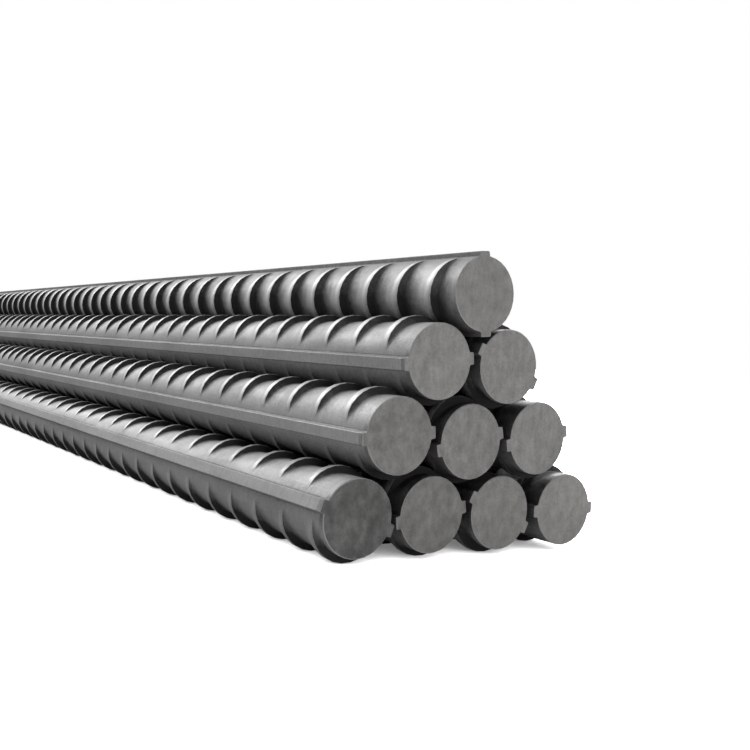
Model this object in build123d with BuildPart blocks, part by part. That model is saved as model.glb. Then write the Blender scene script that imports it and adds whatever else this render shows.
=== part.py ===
from build123d import *
from math import cos, radians, sin, sqrt, tan
import os

# A pyramid pile of heavy ribbed reinforcing bars, hot rolled and sawn square at both ends.
# +Z is up and the bars lie along Y. The ends that lie nearly flush with each other face -Y.
# The origin is on the floor, under the middle of the pile.
# Angles are in degrees, counter-clockwise from +X, seen by someone who looks along +Y.

# One bar, in millimetres
bar_length = 6000
core_diameter = 48.5
lug_width = 8.4  # each of the two lengthwise ribs, measured at its root
lug_height = 3.0
lug_flank_angle = 85
rib_height = 4.5  # the crescent ribs at their highest, square to the lugs
rib_start_angle = 27  # where a crescent rib runs out, measured from the middle of a lug
bare_end = 20  # no crescent rib lies nearer than this to a sawn end

# The pile, in millimetres
side_gap = 0.2  # between neighbours in a course
seat_gap = 0.2  # between a bar and the two that it rests on

# How far each bar is rolled about its own axis: the angle of its lugs, one list for each course
lug_angles = {
    "bottom": [-19, 9, -25, 1],
    "second": [5, 13, 11],
    "third": [7, -23],
    "top": [96],
}

# How far each bar is pushed in from the mean sawn end, as a share of the core diameter
push_in_shares = {
    "bottom": [0.04, 0.03, 0.0, -0.07],
    "second": [0.05, 0.02, -0.06],
    "third": [0.07, -0.01],
    "top": [0.0],
}

core_radius = core_diameter / 2
lug_tip_radius = core_radius + lug_height
lug_root_radius = sqrt(core_radius**2 - (lug_width / 2) ** 2)
lug_tip_width = lug_width - 2 * (lug_tip_radius - lug_root_radius) / tan(radians(lug_flank_angle))

# The crests of the crescent ribs lie on a circle that is smaller than the core and shifted
# square to the lugs. It leaves the core at the rib start angle and is highest in the middle.
crest_height = core_radius + rib_height
crest_shift = (crest_height**2 - core_radius**2) / (
    2 * (crest_height - core_radius * sin(radians(rib_start_angle)))
)
crest_radius = crest_height - crest_shift

pitch = 2 * lug_tip_radius + side_gap


def toward(angle, length):
    return Vector(length * cos(radians(angle)), length * sin(radians(angle)))


def section_circles(lug_angle):
    # Without its lugs a bar's section is the core circle and a crest circle on each side
    return [
        (Vector(0, 0), core_radius),
        (toward(lug_angle + 90, crest_shift), crest_radius),
        (toward(lug_angle - 90, crest_shift), crest_radius),
    ]


def reach(lug_angle, direction):
    # How far a bar stands out from its own axis in one direction, by its lugs or its crests
    along = abs(cos(radians(direction - lug_angle)))
    across = abs(sin(radians(direction - lug_angle)))
    return max(lug_tip_radius * along + lug_tip_width / 2 * across, crest_radius + crest_shift * across)


def touching(below, below_lug_angle, lug_angle):
    # Where the axis of a bar may lie when one of its circles touches one of the bar below
    return [
        (below + under - over, under_radius + over_radius + seat_gap)
        for under, under_radius in section_circles(below_lug_angle)
        for over, over_radius in section_circles(lug_angle)
    ]


def seat(lug_angle, left, left_lug_angle, right, right_lug_angle):
    # The axis lies where a circle about the left bar meets one about the right bar.
    # The highest of these places clears all the others, so there the bar comes to rest.
    places = []
    for left_centre, left_radius in touching(left, left_lug_angle, lug_angle):
        for right_centre, right_radius in touching(right, right_lug_angle, lug_angle):
            gap = (right_centre - left_centre).length
            level = (right_centre - left_centre).normalized()
            along = (gap**2 + left_radius**2 - right_radius**2) / (2 * gap)
            across = sqrt(left_radius**2 - along**2)
            places.append(left_centre + level * along + Vector(-level.Y, level.X) * across)
    return max(places, key=lambda place: place.Y)


# The bottom course lies on the floor, and each bar above sits in the valley between two bars
axes = {
    "bottom": [
        Vector(column * pitch, reach(angle, 270))
        for column, angle in enumerate(lug_angles["bottom"])
    ]
}
for below, course in zip(lug_angles, list(lug_angles)[1:]):
    axes[course] = [
        seat(angle, axes[below][i], lug_angles[below][i], axes[below][i + 1], lug_angles[below][i + 1])
        for i, angle in enumerate(lug_angles[course])
    ]

# The middle of the pile, from its outermost bars and its most pushed in and pulled out ends
left_side = axes["bottom"][0].X - reach(lug_angles["bottom"][0], 180)
right_side = axes["bottom"][-1].X + reach(lug_angles["bottom"][-1], 0)
middle_x = (left_side + right_side) / 2
all_shares = sum(push_in_shares.values(), [])
middle_share = (min(all_shares) + max(all_shares)) / 2

os.makedirs("parts", exist_ok=True)

for course in lug_angles:
    for i, lug_angle in enumerate(lug_angles[course]):
        axis = axes[course][i]
        far_end = bar_length / 2 + (push_in_shares[course][i] - middle_share) * core_diameter
        far_face = Plane(origin=(axis.X - middle_x, far_end, axis.Y), x_dir=(1, 0, 0), z_dir=(0, -1, 0))

        with BuildPart() as bar:
            # The rolled core with its two lugs runs from one sawn end to the other
            with BuildSketch(far_face):
                Circle(core_radius)
                with PolarLocations(lug_root_radius, 2, start_angle=lug_angle):
                    Trapezoid(
                        lug_width,
                        lug_tip_radius - lug_root_radius,
                        lug_flank_angle,
                        rotation=-90,
                        align=(Align.CENTER, Align.MIN),
                    )
            extrude(amount=bar_length)

            # The space that the crests of the crescent ribs take up, on both sides of the lugs
            with BuildSketch(far_face.offset(bare_end)):
                with PolarLocations(crest_shift, 2, start_angle=lug_angle + 90):
                    Circle(crest_radius)
            extrude(amount=bar_length - 2 * bare_end)

        name = "top_bar" if course == "top" else f"{course}_bar_{i + 1}"
        bar.part.label = name
        export_step(bar.part, f"parts/{name}.step")
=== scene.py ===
from math import cos, pi, radians, sin, sqrt

import bpy
import numpy as np
from mathutils import Matrix, Vector


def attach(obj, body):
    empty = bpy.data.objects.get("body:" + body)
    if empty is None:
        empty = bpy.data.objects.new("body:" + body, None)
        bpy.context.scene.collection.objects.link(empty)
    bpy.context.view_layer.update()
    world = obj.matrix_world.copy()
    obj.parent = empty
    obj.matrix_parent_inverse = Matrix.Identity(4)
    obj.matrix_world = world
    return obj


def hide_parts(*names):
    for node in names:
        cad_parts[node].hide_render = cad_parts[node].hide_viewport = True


# A pyramid pile of ten heavy ribbed bars. Lengths are in metres, +Z is up, the bars lie along Y
# and the ends that the camera sees face -Y.

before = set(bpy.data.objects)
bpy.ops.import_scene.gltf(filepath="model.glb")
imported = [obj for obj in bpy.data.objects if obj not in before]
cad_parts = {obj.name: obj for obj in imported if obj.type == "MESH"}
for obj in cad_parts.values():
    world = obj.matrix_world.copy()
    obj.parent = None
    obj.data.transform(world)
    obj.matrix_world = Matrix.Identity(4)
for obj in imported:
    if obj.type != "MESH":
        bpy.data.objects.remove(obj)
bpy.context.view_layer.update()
print("frame loaded with", len(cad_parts), "bars")


# The bars

barShape = {
    "ribPitch": 0.0367,
    "ribTilt": 0.0027,  # a rib's ends lie this far along the bar from its middle, one each way
    # The lines that shape a rib, from the near end of the bar to the far one: distance from the
    # edge where its steep near flank ends, share of the height of the CAD model's crest circle
    # near the rib's ends and in its middle, painted shade just before and just after the line (the
    # rib's own shadow and its dark near flank), then bare metal with painted highlight likewise
    "ribLines": [
        (-0.0170, 0.00, 0.00, 0.00, 0.00, 0.0, 0.0),
        (-0.0120, 0.00, 0.00, 0.14, 0.14, 0.0, 0.0),
        (-0.0075, 0.00, 0.00, 0.38, 0.38, 0.0, 0.0),
        (-0.0032, 0.00, 0.00, 0.60, 0.60, 0.0, 0.0),
        (-0.0014, 0.48, 0.48, 0.60, 0.60, 0.0, 0.0),
        (0.0000, 0.95, 0.95, 0.68, 0.00, 0.0, 0.9),
        (0.0012, 1.00, 1.00, 0.00, 0.00, 1.0, 1.0),
        (0.0038, 1.00, 0.97, 0.00, 0.00, 1.0, 1.0),
        (0.0056, 0.88, 0.92, 0.00, 0.00, 0.8, 0.8),
        (0.0082, 0.52, 0.80, 0.00, 0.00, 0.2, 0.2),
        (0.0115, 0.20, 0.58, 0.00, 0.00, 0.0, 0.0),
        (0.0150, 0.05, 0.30, 0.00, 0.00, 0.0, 0.0),
        (0.0195, 0.00, 0.00, 0.00, 0.00, 0.0, 0.0),
    ],
    "fineRibs": 16,  # these, at the near end, have all the lines
    "plainRibLines": (1, 3, 5, 7, 9),  # the others have only these
    "ribTipWidth": 0.4,  # share of its full width that a rib keeps where it runs out
    # Raises the ribs near their ends on the upper left side, where no other bar lies against them
    "tipRise": 0.0006,
    "topBarTipRise": 0.0016,
    "tipRiseFade": 0.25,  # the leftward and the upward part of the facing at which it is full
    "stepsAround": 14,  # from one lug to the other
    "rootGuard": 0.15,  # share of a step: a line this near each lug keeps the core's shading round
    "lugBevel": 0.0004,
    "lugFillet": 0.0005,
    "filletSteps": 1,
    "endBevel": 0.0005,
    "cutBand": 0.0045,  # the saw marks a band this wide beside the cut
    "sharpAngle": 35,
    "tiny": 0.00001,
}

# Where the first crest lies behind the near sawn end, on the left or upper side and on the other
firstRibs = {
    "bottom_bar_1": (0.0257, 0.0097),
    "bottom_bar_2": (0.0150, 0.0130),
    "bottom_bar_3": (0.0310, 0.0130),
    "bottom_bar_4": (0.0190, 0.0350),
    "second_bar_1": (0.0228, 0.0110),
    "second_bar_2": (0.0120, 0.0120),
    "second_bar_3": (0.0280, 0.0100),
    "third_bar_1": (0.0238, 0.0110),
    "third_bar_2": (0.0160, 0.0120),
    "top_bar": (0.0209, 0.0370),
}

# How much painted shade and how much bare metal with painted highlight there is. The shade stands
# for the ribs' shadows, the gaps between bars and the lugs' flanks. Where an entry has two rows,
# the second holds amounts and the first the values that they belong to: Gap is the distance to
# another bar's core or the floor, and Up the upward part of the way that a place faces, 1 on top
# of a bar and -1 below it.
paintedLight = {
    "shadeByGap": ((0.009, 0.026), (1.6, 1.0)),
    "shadePowerByGap": ((0.009, 0.026), (0.35, 1.0)),  # below 1 it spreads away from the ribs
    "tipShadeByUp": ((0.0, 0.6), (0.4, 1.4)),  # painted shade at a rib's ends, beside 1 in its middle
    "tipShadeFrom": 0.08,  # share of the full relief where it sets in
    "besideRibPower": 0.4,  # above 0 the painted shade on the core thins out towards the rib's ends
    # painted shade on crests that face up, dimming their sheen
    "crestShadeByUp": ((0.8, 1.0), (0.0, 0.4)),
    "occlusionShadeByGap": ((0.0085, 0.0150), (0.8, 0.0)),  # painted shade of occlusion, all along the bar, where another bar or the floor is near
    "occlusionShadeByUp": ((-0.5, 0.0), (0.5, 1.0)),
    "occlusionShadeOffCrests": 0.6,
    "unshadedAboveUp": (0.88, 0.96),  # where the painted shade of the bars on the right side thins out
    "lugFlankShade": 0.35,  # painted shade on the flanks of the lugs
    # painted shade on lugs that face up
    "lugShadeByUp": ((0.9, 1.0), (0.0, 0.5)),
    "lugCutBandDark": 0.35,  # darker band beside the cut, on and beside the lugs
    # Bare metal with painted highlight on crests, lug tips and round the cut; on the crests by how
    # they face
    "crestHighlight": 1.6,
    "highlightByUp": ((-0.4, 0.0, 0.45, 0.8, 0.95), (0.1, 0.4, 0.8, 1.0, 0.1)),
    "lugTipBareAndHighlight": 0.15,
    "edgeBareAndHighlight": 0.6,  # bare metal and painted highlight round the cut
    # Along the bar painted shade and highlight both grow, to this many times their amount at the
    # near end, at this distance
    "farRise": 2.1,
    "farRiseAt": 1.0,
}

# The bars on the right side of the pile have no painted shade on top and have a light of their own
rightSide = ("bottom_bar_4", "second_bar_3", "third_bar_2")

# How dull the sawn ends are
dullEnds = {
    "bottom_bar_1": 1.0,
    "bottom_bar_2": 0.5,
    "bottom_bar_3": 0.25,
    "bottom_bar_4": 0.0,
    "second_bar_1": 0.45,
    "second_bar_2": 0.25,
    "second_bar_3": 0.1,
    "third_bar_1": 0.1,
    "third_bar_2": 0.1,
    "top_bar": 0.2,
}


def measureBar(node):
    # The node's own vertices give the axis, the lugs, the core and the circle of the crests
    points = np.array([v.co for v in node.data.vertices])
    tiny = barShape["tiny"]
    nearY, farY = points[:, 1].min(), points[:, 1].max()
    section = points[:, [0, 2]]
    nearEnd = section[points[:, 1] < nearY + tiny]
    reach = np.linalg.norm(nearEnd - (nearEnd.min(0) + nearEnd.max(0)) / 2, axis=1)
    corners = nearEnd[reach > reach.max() - tiny]  # the edges of the two lugs stand out furthest
    axis = (corners.min(0) + corners.max(0)) / 2
    corners, nearEnd = corners - axis, nearEnd - axis

    oneLug = corners[corners @ corners[0] > 0]
    lug = oneLug.min(0) + oneLug.max(0)
    lug /= np.linalg.norm(lug)
    square = np.array([-lug[1], lug[0]])
    if square[1] < square[0]:  # the first side of a bar is the one that looks up or to the left
        lug, square = -lug, -square
    core = np.linalg.norm(nearEnd, axis=1).min()
    onCore = nearEnd[np.linalg.norm(nearEnd, axis=1) < core + tiny]

    inside = (points[:, 1] > nearY + tiny) & (points[:, 1] < farY - tiny)
    crests = section[inside] - axis
    crests = crests[
        (crests @ square > core / 2) & (np.linalg.norm(crests, axis=1) > core + tiny)
    ]
    # A point p of a circle about shift * square has p.p = 2 shift (p.square) + rest
    equations = np.column_stack([2 * crests @ square, np.ones(len(crests))])
    shift, rest = np.linalg.lstsq(equations, (crests**2).sum(1), rcond=None)[0]
    return {
        "axis": axis,
        "lug": lug,  # towards the middle of one lug
        "square": square,  # and square to it
        "nearY": nearY,
        "farY": farY,
        "core": core,
        "lugTip": abs(corners @ lug).max(),
        "lugTipHalf": abs(corners @ square).max(),
        "lugRootHalf": abs(onCore @ square).min(),
        "crestShift": shift,
        "crestRadius": sqrt(rest + shift**2),
    }


def halfLug(bar):
    # Half of a lug's outline, from its flat tip down its flank and round the fillet to the core
    core, bevel, fillet = bar["core"], barShape["lugBevel"], barShape["lugFillet"]
    root = np.array([sqrt(core**2 - bar["lugRootHalf"] ** 2), bar["lugRootHalf"]])
    tip = np.array([bar["lugTip"], bar["lugTipHalf"]])
    inward = (root - tip) / np.linalg.norm(root - tip)
    outward = np.array([inward[1], -inward[0]])  # square to the flank
    away = root @ outward + fillet
    centre = outward * away - inward * sqrt((core + fillet) ** 2 - away**2)
    points = [tip - (0, bevel), tip + inward * bevel]
    for step in range(barShape["filletSteps"] + 1):
        share = step / barShape["filletSteps"]
        turned = outward * (1 - share) + centre / (core + fillet) * share
        points.append(centre - turned / np.linalg.norm(turned) * fillet)
    return points


def sectionColumns(name, bar):
    # One entry for each line of vertices that runs along the bar, going round from the first lug:
    # place across the bar, relief of a crest there, side, bare metal with painted highlight,
    # painted shade. Side is 0 on the first side of the bar and 1 on the other, and on a lug it
    # passes evenly from one to the other.
    lugPoints = halfLug(bar)
    count = len(lugPoints)
    lugSide = [0.5 * (1 - (i + 0.5) / count) for i in range(count)]
    lugBareAndHighlight = [paintedLight["lugTipBareAndHighlight"]] * 2 + [0.0] * (count - 2)  # on the tip and its edge
    # Painted shade on the lugs' flanks and fillets
    lugShade = [0.0] + [paintedLight["lugFlankShade"]] * (count - 1)
    lug = list(zip(lugPoints, lugSide, lugBareAndHighlight, lugShade))

    core, shift, radius = bar["core"], bar["crestShift"], bar["crestRadius"]
    highest = shift + radius - core
    startAngle = np.arctan2(lugPoints[-1][1], lugPoints[-1][0])
    steps, guard = barShape["stepsAround"], barShape["rootGuard"]
    tipRise = barShape["topBarTipRise" if name == "top_bar" else "tipRise"]
    fade = barShape["tipRiseFade"]
    columns = []
    for turn in (0, 1):
        face = 1 - 2 * turn
        columns += [(face * point, 0, turn - away, bareAndHighlight, paintedShade) for point, away, bareAndHighlight, paintedShade in lug]
        for step in [guard, *range(1, steps), steps - guard]:
            angle = startAngle + (pi - 2 * startAngle) * step / steps
            place = face * core * np.array([cos(angle), sin(angle)])
            crest = shift * sin(angle) + sqrt(radius**2 - (shift * cos(angle)) ** 2)
            x, z = (place[0] * bar["lug"] + place[1] * bar["square"]) / core
            extra = tipRise * np.clip(-x / fade, 0, 1) * np.clip(z / fade, 0, 1)
            rise = max(0, crest - core + extra) * highest / (highest + extra)
            columns.append((place, rise, turn, 0, 0))
        columns += [
            (face * point * (-1, 1), 0, turn + away, bareAndHighlight, paintedShade)
            for point, away, bareAndHighlight, paintedShade in reversed(lug)
        ]
    return [np.array(part) for part in zip(*columns)]


def findGap(name, bar, places, measured):
    # For each line of vertices, how near its place on the core is to the other bars and the floor
    section = bar["axis"] + places[:, :1] * bar["lug"] + places[:, 1:] * bar["square"]
    nearest = section[:, 1]
    for other, otherBar in measured.items():
        if other != name:
            gap = np.linalg.norm(section - otherBar["axis"], axis=1) - otherBar["core"]
            nearest = np.minimum(nearest, gap)
    return nearest


def findPaintedLight(name, bar, measured, places, share, lugShade):
    # The painted shade and the bare metal with painted highlight of each line of vertices, before
    # a rib's own lines set them
    reach = np.linalg.norm(places, axis=1)
    outward = places / reach[:, None]
    up = outward[:, 0] * bar["lug"][1] + outward[:, 1] * bar["square"][1]
    gap = findGap(name, bar, places, measured)

    # Painted shade beside the ribs, stronger at their ends where they face up and near other bars
    tipShade = np.interp(up, *paintedLight["tipShadeByUp"])
    paintedShade = tipShade + (1 - tipShade) * share
    paintedShade = paintedShade * np.clip(share / paintedLight["tipShadeFrom"], 0, 1)
    paintedShade = paintedShade * np.interp(gap, *paintedLight["shadeByGap"])

    onLug = reach > bar["core"] + barShape["tiny"]
    lugShade = np.maximum(lugShade, onLug * np.interp(up, *paintedLight["lugShadeByUp"]))
    # Painted shade of occlusion where another bar or the floor is near, mostly on the undersides
    occlusionShade = np.interp(gap, *paintedLight["occlusionShadeByGap"]) * np.interp(up, *paintedLight["occlusionShadeByUp"])
    if name in rightSide:
        occlusionShade = occlusionShade * np.interp(up, paintedLight["unshadedAboveUp"], (1, 0))
    return {
        "paintedShade": paintedShade,
        "shadePower": np.interp(gap, *paintedLight["shadePowerByGap"]),
        "crestShade": np.interp(up, *paintedLight["crestShadeByUp"]) * np.sqrt(share),
        "lugShade": lugShade,
        "occlusionShade": np.maximum(occlusionShade, lugShade),
        # Painted highlight on the crests, by how much they face up
        "bareAndHighlight": paintedLight["crestHighlight"] * np.sqrt(share) * np.interp(up, *paintedLight["highlightByUp"]),
    }


def makeRows(name, bar, measured):
    # Each row of vertices: place across the bar and along it, then painted shade before and after
    # the row and bare metal with painted highlight before and after it
    places, relief, side, lugBareAndHighlight, lugShade = sectionColumns(name, bar)
    reach = np.linalg.norm(places, axis=1)
    outward = places / reach[:, None]
    share = relief / relief.max()
    paintedMarks = findPaintedLight(name, bar, measured, places, share, lugShade)
    occlusionShade = paintedMarks["occlusionShade"]

    # A line on a lug passes evenly from the ribs of one side to those of the other
    first, second = firstRibs[name]
    start = first + (second - first) * (1 - np.abs(1 - np.mod(side, 2)))
    narrow = barShape["ribTipWidth"]
    width = narrow + (1 - narrow) * np.sqrt(share)
    tilt = -barShape["ribTilt"] * outward[:, 0]

    length = bar["farY"] - bar["nearY"]
    pitch, lines = barShape["ribPitch"], barShape["ribLines"]
    endBevel, cutBand = barShape["endBevel"], barShape["cutBand"]
    room = length - max(first, second) - lines[-1][0] - barShape["ribTilt"] - cutBand
    ribs = int(room / pitch) + 1

    zero = np.zeros(len(places))
    bevelled = places * (1 - endBevel / reach[:, None])
    edgeBareAndHighlight = zero + paintedLight["edgeBareAndHighlight"]
    # Darker band beside the cut on the lugs, with the painted shade of the gaps
    cutBandDark = np.maximum(paintedLight["lugCutBandDark"] * (relief == 0), occlusionShade)
    rows = [
        (bevelled, zero, zero, zero, zero, edgeBareAndHighlight),
        (places, zero + endBevel, zero, cutBandDark, edgeBareAndHighlight, lugBareAndHighlight),
        (places, zero + cutBand, cutBandDark, occlusionShade, lugBareAndHighlight, lugBareAndHighlight),
    ]
    for rib in range(ribs):
        chosen = range(len(lines)) if rib < barShape["fineRibs"] else barShape["plainRibLines"]
        for i in chosen:
            distance, endHeight, midHeight, shadeBefore, shadeAfter, highlightBefore, highlightAfter = lines[i]
            along = start + rib * pitch + distance * width + tilt
            height = endHeight + (midHeight - endHeight) * share**2
            # Painted shade and highlight grow towards the far end
            grown = 1 + (paintedLight["farRise"] - 1) * np.clip(along / paintedLight["farRiseAt"], 0, 1)
            paintedShade = paintedMarks["paintedShade"] * grown
            if endHeight == 0:
                paintedShade = paintedShade * share ** paintedLight["besideRibPower"]
            bareAndHighlight = paintedMarks["bareAndHighlight"] * grown
            # The least painted shade on a row: the gaps' shade, less on crests, and that of lugs
            # and upturned crests
            leastShade = occlusionShade * (1 - paintedLight["occlusionShadeOffCrests"] * height)
            leastShade = np.maximum(leastShade, paintedMarks["lugShade"])
            leastShade = np.maximum(leastShade, paintedMarks["crestShade"] * height)
            rows.append((
                places + outward * (relief * height)[:, None],
                np.maximum(along, cutBand + (i + 1) * barShape["tiny"]),
                np.maximum(shadeBefore ** paintedMarks["shadePower"] * paintedShade, leastShade),
                np.maximum(shadeAfter ** paintedMarks["shadePower"] * paintedShade, leastShade),
                np.maximum(highlightBefore * bareAndHighlight, lugBareAndHighlight),
                np.maximum(highlightAfter * bareAndHighlight, lugBareAndHighlight),
            ))
    rows += [
        (places, zero + length - cutBand, occlusionShade, cutBandDark, lugBareAndHighlight, lugBareAndHighlight),
        (places, zero + length - endBevel, cutBandDark, zero, lugBareAndHighlight, edgeBareAndHighlight),
        (bevelled, zero + length, zero, zero, edgeBareAndHighlight, zero),
    ]
    return rows


def makeBar(name, measured, skin, cut):
    bar = measured[name]
    rows = makeRows(name, bar, measured)
    count = len(rows[0][0])
    local, along, *marks = (np.concatenate(part) for part in zip(*rows))
    across = bar["axis"] + local[:, :1] * bar["lug"] + local[:, 1:] * bar["square"]
    vertices = np.column_stack([across[:, 0], bar["nearY"] + along, across[:, 1]])
    ring = np.arange(count)
    nextOne = np.roll(ring, -1)
    quads = np.concatenate([
        np.column_stack([ring, ring + count, nextOne + count, nextOne]) + row * count
        for row in range(len(rows) - 1)
    ])
    last = (len(rows) - 1) * count
    faces = quads.tolist() + [ring.tolist(), (ring[::-1] + last).tolist()]

    mesh = bpy.data.meshes.new(name + "_rolled")
    mesh.from_pydata(vertices.tolist(), [], faces)
    near, far, farNext, nearNext = quads.T
    # Painted shade, and bare metal with painted highlight, as corner attributes for the skin's
    # finish
    for label, before, after in (("paintedShade", marks[0], marks[1]), ("bareAndHighlight", marks[2], marks[3])):
        # A face takes what lies after its near row and before its far row
        values = np.column_stack([after[near], before[far], before[farNext], after[nearNext]])
        values = np.concatenate([values.ravel(), np.zeros(2 * count)]).astype(np.float32)
        mesh.attributes.new(label, "FLOAT", "CORNER").data.foreach_set("value", values)
    dull = np.zeros(len(mesh.loops), np.float32)
    dull[-2 * count:] = dullEnds[name]
    mesh.attributes.new("dull", "FLOAT", "CORNER").data.foreach_set("value", dull)
    mesh.shade_smooth()
    mesh.set_sharp_from_angle(angle=radians(barShape["sharpAngle"]))
    mesh.materials.append(skin)
    mesh.materials.append(cut)
    for end in (len(faces) - 2, len(faces) - 1):
        mesh.polygons[end].material_index = 1
        mesh.polygons[end].use_smooth = False

    piece = bpy.data.objects.new(name + "_rolled", mesh)
    bpy.context.scene.collection.objects.link(piece)
    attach(piece, "root")
    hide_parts(name)
    return piece


# Building node trees

def newGroup(name, inputs, outputs):
    group = bpy.data.node_groups.new(name, "ShaderNodeTree")
    for label, kind, value in inputs:
        socket = group.interface.new_socket(label, in_out="INPUT", socket_type=kind)
        socket.default_value = value
    for label, kind in outputs:
        group.interface.new_socket(label, in_out="OUTPUT", socket_type=kind)
    return group, group.nodes.new("NodeGroupInput"), group.nodes.new("NodeGroupOutput")


def addNode(tree, kind, settings=None, **values):
    # Values go by the sockets' names, with _ for a space, or as _0, _1 by their places. A value
    # is a number, a colour or a vector, or the socket that feeds it.
    node = tree.nodes.new(kind)
    for label, value in (settings or {}).items():
        setattr(node, label, value)
    for label, value in values.items():
        socket = node.inputs[int(label[1:]) if label[0] == "_" else label.replace("_", " ")]
        if isinstance(value, bpy.types.NodeSocket):
            tree.links.new(value, socket)
        else:
            socket.default_value = value
    return node


def calculate(tree, operation, first, second=0.0, clamp=False):
    settings = {"operation": operation, "use_clamp": clamp}
    return addNode(tree, "ShaderNodeMath", settings, _0=first, _1=second).outputs[0]


def blendColours(tree, mask, first, second):
    settings = {"data_type": "RGBA"}
    return addNode(tree, "ShaderNodeMix", settings, _0=mask, _6=first, _7=second).outputs[2]


def spread(tree, value, low, high, toLow=0.0, toHigh=1.0):
    return addNode(
        tree, "ShaderNodeMapRange",
        Value=value, From_Min=low, From_Max=high, To_Min=toLow, To_Max=toHigh,
    ).outputs["Result"]


# Effects that both finishes use

effectLook = {
    "noiseRoughness": 0.6,
    "noiseSpan": (0.3, 0.7),  # spread out to 0 and 1
    "breakupDetail": 4.0,
    "breakupRoughness": 0.65,
    "leastMarking": 0.01,  # below this nothing shows, however broken the outline is
}


def makeStretchedNoise():
    # Noise that is stretched by giving a different density along each axis, in patches per metre
    look = effectLook
    group, given, result = newGroup(
        "stretchedNoise",
        [("Density", "NodeSocketVector", (100, 100, 100)), ("Detail", "NodeSocketFloat", 3.0)],
        [("Tone", "NodeSocketFloat")],
    )
    place = addNode(group, "ShaderNodeTexCoord").outputs["Object"]
    settings = {"operation": "MULTIPLY"}
    scaled = addNode(
        group, "ShaderNodeVectorMath", settings, _0=place, _1=given.outputs["Density"],
    ).outputs[0]
    noise = addNode(
        group, "ShaderNodeTexNoise",
        Vector=scaled, Scale=1.0, Detail=given.outputs["Detail"], Roughness=look["noiseRoughness"],
    ).outputs["Fac"]
    group.links.new(spread(group, noise, *look["noiseSpan"]), result.inputs["Tone"])
    return group


def makeMarkedPlaces():
    # A mask that follows one of the bars' own markings, with a broken outline
    look = effectLook
    group, given, result = newGroup(
        "markedPlaces",
        [
            ("Marking", "NodeSocketFloat", 0.0),
            ("Amount", "NodeSocketFloat", 0.5),
            ("Breakup", "NodeSocketFloat", 0.5),
            ("Density", "NodeSocketFloat", 300.0),
        ],
        [("Mask", "NodeSocketFloat")],
    )
    marking = given.outputs["Marking"]
    place = addNode(group, "ShaderNodeTexCoord").outputs["Object"]
    noise = addNode(
        group, "ShaderNodeTexNoise", Vector=place, Scale=given.outputs["Density"],
        Detail=look["breakupDetail"], Roughness=look["breakupRoughness"],
    ).outputs["Fac"]
    centred = calculate(group, "SUBTRACT", noise, 0.5)
    broken = calculate(group, "MULTIPLY", centred, given.outputs["Breakup"])
    edge = calculate(group, "ADD", marking, broken)
    marked = calculate(group, "GREATER_THAN", marking, look["leastMarking"])
    inside = calculate(group, "MULTIPLY", edge, marked, clamp=True)
    mask = calculate(group, "MULTIPLY", inside, given.outputs["Amount"], clamp=True)
    group.links.new(mask, result.inputs["Mask"])
    return group


stretchedNoise = makeStretchedNoise()
markedPlaces = makeMarkedPlaces()


def addTones(tree, look, names):
    # The noises of a finish by their names, and the tone that they add up to
    noises, tone = {}, 0.0
    for name in names:
        density, detail, share = look[name]
        settings = {"node_tree": stretchedNoise}
        noise = addNode(tree, "ShaderNodeGroup", settings, Density=density, Detail=detail)
        noises[name] = noise.outputs["Tone"]
        tone = calculate(tree, "ADD", tone, calculate(tree, "MULTIPLY", noises[name], share))
    return noises, tone


def readMarking(tree, name):
    return addNode(tree, "ShaderNodeAttribute", {"attribute_name": name}).outputs["Fac"]


def useMarking(tree, name, amount, breakup, density):
    return addNode(
        tree, "ShaderNodeGroup", {"node_tree": markedPlaces},
        Marking=readMarking(tree, name), Amount=amount, Breakup=breakup, Density=density,
    ).outputs["Mask"]


def newMaterial(name, look):
    material = bpy.data.materials.new(name)
    material.use_nodes = True
    tree = material.node_tree
    shader = tree.nodes["Principled BSDF"]
    shader.inputs["Metallic"].default_value = look["metallic"]
    return material, tree, shader


def addBump(tree, shader, look, height):
    strength, depth = look["bump"]
    bump = addNode(tree, "ShaderNodeBump", Strength=strength, Distance=depth, Height=height)
    tree.links.new(bump.outputs["Normal"], shader.inputs["Normal"])


# The rolled skin of the bars

skinLook = {
    "darkSteel": (0.25, 0.245, 0.245, 1),
    "lightSteel": (0.50, 0.495, 0.50, 1),
    # Near black, painted shade: the ribs' shadows and dark near flanks, the gaps between bars, the
    # lugs' flanks
    "paintedShade": (0.045, 0.043, 0.042, 1),
    # Light steel: bare metal, and a painted highlight on the crests where they face the light
    "bareAndHighlightColour": (0.74, 0.735, 0.73, 1),
    # Patches per metre along each axis, detail, share in the tone between dark and light steel
    "clouds": ((60, 12, 60), 4.0, 0.4),
    "rollLines": ((60, 1100, 60), 3.0, 0.25),
    "grain": ((1300, 800, 1300), 2.0, 0.35),
    # Amount, how broken the outline is, patches per metre
    "bareAndHighlightMarking": (1.0, 0.5, 220),
    "shadeMarking": (0.95, 0.6, 260),
    "roughness": (0.72, 0.52),  # at the two tones below
    "roughnessTones": (0.2, 0.8),
    "shadeRoughness": 0.3,  # added where the painted shade lies
    "metallic": 0.4,
    "bump": (0.35, 0.00008),  # strength, depth
    "rollLineHeight": 0.6,  # beside the grain's 1
}


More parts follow.
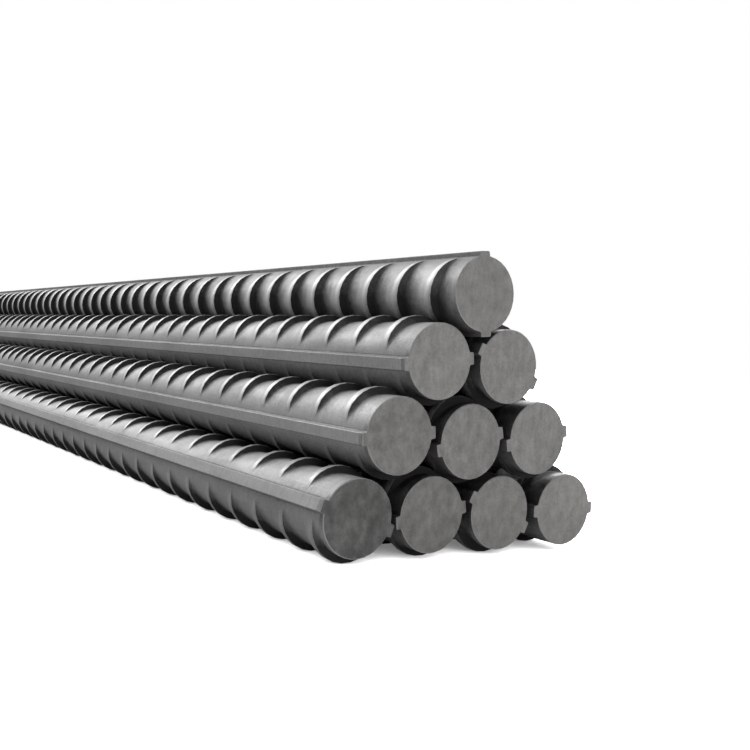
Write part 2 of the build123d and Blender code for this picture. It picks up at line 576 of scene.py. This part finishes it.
def makeSkin():
    look = skinLook
    material, tree, shader = newMaterial("millSteel", look)
    noises, tone = addTones(tree, look, ("clouds", "rollLines", "grain"))
    colour = blendColours(tree, tone, look["darkSteel"], look["lightSteel"])
    # Bare metal and painted highlight, then the painted shade over it
    bareAndHighlight = useMarking(tree, "bareAndHighlight", *look["bareAndHighlightMarking"])
    colour = blendColours(tree, bareAndHighlight, colour, look["bareAndHighlightColour"])
    # Painted shade: the near black laid over the steel where its marking is high
    shaded = useMarking(tree, "paintedShade", *look["shadeMarking"])
    colour = blendColours(tree, shaded, colour, look["paintedShade"])
    tree.links.new(colour, shader.inputs["Base Color"])

    roughness = spread(tree, tone, *look["roughnessTones"], *look["roughness"])
    added = calculate(tree, "MULTIPLY", shaded, look["shadeRoughness"])
    roughness = calculate(tree, "ADD", roughness, added, clamp=True)
    tree.links.new(roughness, shader.inputs["Roughness"])

    lines = calculate(tree, "MULTIPLY", noises["rollLines"], look["rollLineHeight"])
    addBump(tree, shader, look, calculate(tree, "ADD", noises["grain"], lines))
    return material


# The sawn ends

cutLook = {
    "dullSteel": (0.15, 0.148, 0.145, 1),
    "darkSteel": (0.33, 0.323, 0.317, 1),
    "lightSteel": (0.68, 0.672, 0.66, 1),
    # Patches per metre along each axis, detail, share in the tone between dark and light steel
    "clouds": ((150, 150, 120), 4.0, 0.5),
    "sawLines": ((900, 900, 70), 3.0, 0.2),
    "specks": ((700, 700, 700), 2.0, 0.3),
    "dullClouds": (1.0, 0.6),  # how much of the dull steel shows where the clouds are dark, light
    "roughness": (0.75, 0.55),  # at the two tones below
    "roughnessTones": (0.2, 0.8),
    "metallic": 0.1,
    "bump": (0.3, 0.00006),  # strength, depth
}


def makeCut():
    look = cutLook
    material, tree, shader = newMaterial("sawnSteel", look)
    noises, tone = addTones(tree, look, ("clouds", "sawLines", "specks"))
    colour = blendColours(tree, tone, look["darkSteel"], look["lightSteel"])
    patchy = spread(tree, noises["clouds"], 0.0, 1.0, *look["dullClouds"])
    dull = calculate(tree, "MULTIPLY", readMarking(tree, "dull"), patchy)
    colour = blendColours(tree, dull, colour, look["dullSteel"])
    tree.links.new(colour, shader.inputs["Base Color"])
    roughness = spread(tree, tone, *look["roughnessTones"], *look["roughness"])
    tree.links.new(roughness, shader.inputs["Roughness"])
    addBump(tree, shader, look, noises["sawLines"])
    return material


skin, cut = makeSkin(), makeCut()
print("finishes made")
measured = {name: measureBar(node) for name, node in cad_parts.items()}
bars = {name: makeBar(name, measured, skin, cut) for name in measured}
print("bars made,", sum(len(b.data.polygons) for b in bars.values()), "faces")


# The floor

floorLook = {
    "size": 40.0,
    "colour": (0.86, 0.86, 0.86, 1),
    "glow": 0.14,  # keeps the shadow under the pile pale
    "asSeenByBars": (0.085, 0.085, 0.085, 1),
}


def makeFloor():
    half = floorLook["size"] / 2
    corners = [(-half, -half, 0), (half, -half, 0), (half, half, 0), (-half, half, 0)]
    mesh = bpy.data.meshes.new("floor")
    mesh.from_pydata(corners, [], [(0, 1, 2, 3)])
    material = bpy.data.materials.new("paleFloor")
    material.use_nodes = True
    tree = material.node_tree
    tree.nodes.clear()
    seen = addNode(tree, "ShaderNodeBsdfDiffuse", Color=floorLook["colour"])
    bounced = addNode(tree, "ShaderNodeBsdfDiffuse", Color=floorLook["asSeenByBars"])
    isSeen = addNode(tree, "ShaderNodeLightPath").outputs["Is Camera Ray"]
    glow = addNode(tree, "ShaderNodeEmission", Strength=floorLook["glow"])
    lit = addNode(tree, "ShaderNodeAddShader", _0=seen.outputs[0], _1=glow.outputs[0])
    mix = addNode(
        tree, "ShaderNodeMixShader", _0=isSeen, _1=bounced.outputs[0], _2=lit.outputs[0],
    )
    addNode(tree, "ShaderNodeOutputMaterial", Surface=mix.outputs[0])
    mesh.materials.append(material)
    floor = bpy.data.objects.new("floor", mesh)
    bpy.context.scene.collection.objects.link(floor)
    return floor


floor = makeFloor()


# The light

# Where each light comes from, its strength, how wide it looks in degrees
sunLook = {
    "key": ((-0.2, 0.85, 0.5), 1.6, 25),
    "top": ((-0.05, 0.35, 1.0), 1.15, 50),
    "side": ((0.5, 0.45, 0.75), 3.0, 15),
    "front": ((0.1, -1.0, 0.15), 0.5, 20),
    "floor": ((0.0, -0.3, 1.0), 20.0, 150),
}

# What surrounds the pile, unseen by the camera itself. The backdrop stands behind the pile, where
# the bars mirror it at a flat angle.
surroundingsLook = {
    "strength": 0.06,
    "backdrop": 0.75,
    "backdropSpan": (0.45, 0.85),  # towards +Y: it starts here and is full there
    "horizonSpan": (-0.1, 0.15),  # the same, upwards
}


def makeSun(name, pieces):
    comesFrom, strength, angle = sunLook[name]
    light = bpy.data.lights.new(name + "Light", "SUN")
    light.energy = strength
    light.angle = radians(angle)
    lamp = bpy.data.objects.new(name + "Light", light)
    lamp.rotation_euler = Vector(comesFrom).to_track_quat("Z", "Y").to_euler()
    bpy.context.scene.collection.objects.link(lamp)
    lit = bpy.data.collections.new(name + "Lit")  # it lights only these
    for piece in pieces:
        lit.objects.link(piece)
    lamp.light_linking.receiver_collection = lit


litPieces = {"side": [bars[name] for name in rightSide], "floor": [floor]}
for name in sunLook:
    makeSun(name, litPieces.get(name, bars.values()))


def makeSurroundings():
    look = surroundingsLook
    world = bpy.data.worlds.new("studio")
    bpy.context.scene.world = world
    world.use_nodes = True
    tree = world.node_tree
    tree.nodes.clear()
    towards = addNode(tree, "ShaderNodeTexCoord").outputs["Generated"]
    parts = addNode(tree, "ShaderNodeSeparateXYZ", Vector=towards)
    behind = spread(tree, parts.outputs["Y"], *look["backdropSpan"])
    above = spread(tree, parts.outputs["Z"], *look["horizonSpan"])
    both = calculate(tree, "MULTIPLY", behind, above)
    level = spread(tree, both, 0.0, 1.0, look["strength"], look["backdrop"])
    lights = addNode(tree, "ShaderNodeBackground", Strength=level)
    white = addNode(tree, "ShaderNodeBackground", Color=(1, 1, 1, 1))
    isSeen = addNode(tree, "ShaderNodeLightPath").outputs["Is Camera Ray"]
    mix = addNode(
        tree, "ShaderNodeMixShader", _0=isSeen, _1=lights.outputs[0], _2=white.outputs[0],
    )
    addNode(tree, "ShaderNodeOutputWorld", Surface=mix.outputs[0])


makeSurroundings()
bpy.context.scene.view_settings.view_transform = "Standard"


# The camera

cameraLook = {
    "place": (-0.3906, -3.4615, 0.1254),
    "turnedRight": 34.09,  # from +Y
    "tiltedUp": -1.19,
    "rolled": 3.7,
    "lens": 45.43,
    "sensor": 36,
    "seesFromTo": (0.01, 100),
}


def makeCamera():
    look = cameraLook
    data = bpy.data.cameras.new("camera")
    data.lens = look["lens"]
    data.sensor_width = look["sensor"]
    data.clip_start, data.clip_end = look["seesFromTo"]
    camera = bpy.data.objects.new("camera", data)
    turn = Matrix.Rotation(-radians(look["turnedRight"]), 4, "Z")
    tilt = Matrix.Rotation(radians(90 + look["tiltedUp"]), 4, "X")
    roll = Matrix.Rotation(radians(look["rolled"]), 4, "Z")
    camera.matrix_world = Matrix.Translation(look["place"]) @ turn @ tilt @ roll
    bpy.context.scene.collection.objects.link(camera)
    bpy.context.scene.camera = camera


makeCamera()
print("floor, light and camera set")
